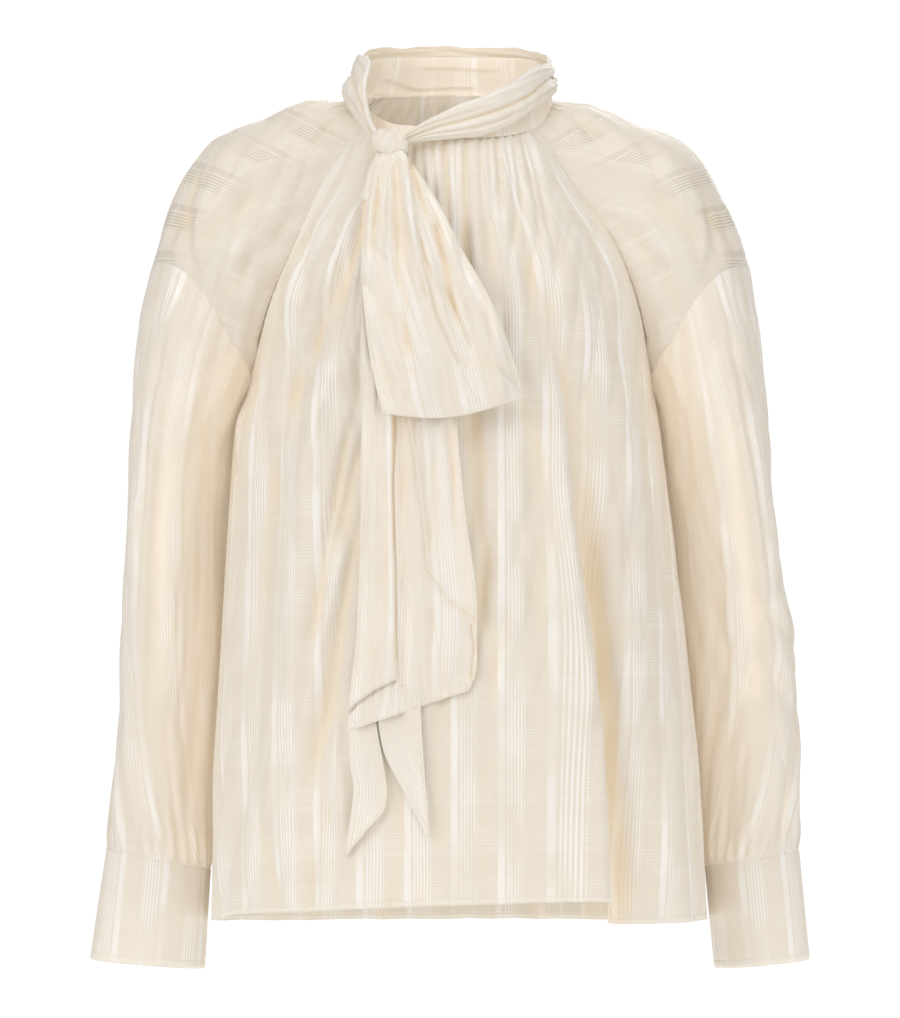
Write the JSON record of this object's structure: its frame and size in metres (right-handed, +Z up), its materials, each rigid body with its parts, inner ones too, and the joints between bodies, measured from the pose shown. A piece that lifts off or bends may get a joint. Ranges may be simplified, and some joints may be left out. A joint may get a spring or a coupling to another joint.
{
  "type": "blouse",
  "caption": "Long-sleeved blouse with raglan shoulders, full sleeves gathered into deep cuffs, a gathered neck and a scarf tied in a bow at the front.",
  "frame": {"origin": "level of the neck points of the shoulders, over the middle of the body, where a wearer's shoulders hold the blouse up", "axes": "+Z up along the body, -Y the front, +X the right side as seen from the front"},
  "size_m": [0.58, 0.2863, 0.7435],
  "materials": {
    "body_cloth": "satin",
    "band_cloth": "satin",
    "scarf_cloth": "satin"
  },
  "bodies": {
    "root": {"front": "body_cloth", "back": "body_cloth", "shoulder_left": "body_cloth", "shoulder_right": "body_cloth", "sleeve_left": "body_cloth", "sleeve_right": "body_cloth", "cuff_left": "body_cloth", "cuff_right": "body_cloth", "neckband": "band_cloth", "scarf_back": "scarf_cloth", "scarf_front": "scarf_cloth", "scarf_left": "scarf_cloth", "knot": "scarf_cloth", "bow_loop": "scarf_cloth", "tail": "scarf_cloth", "tail_tip_left": "scarf_cloth", "tail_tip_right": "scarf_cloth"}
  },
  "joints": []
}
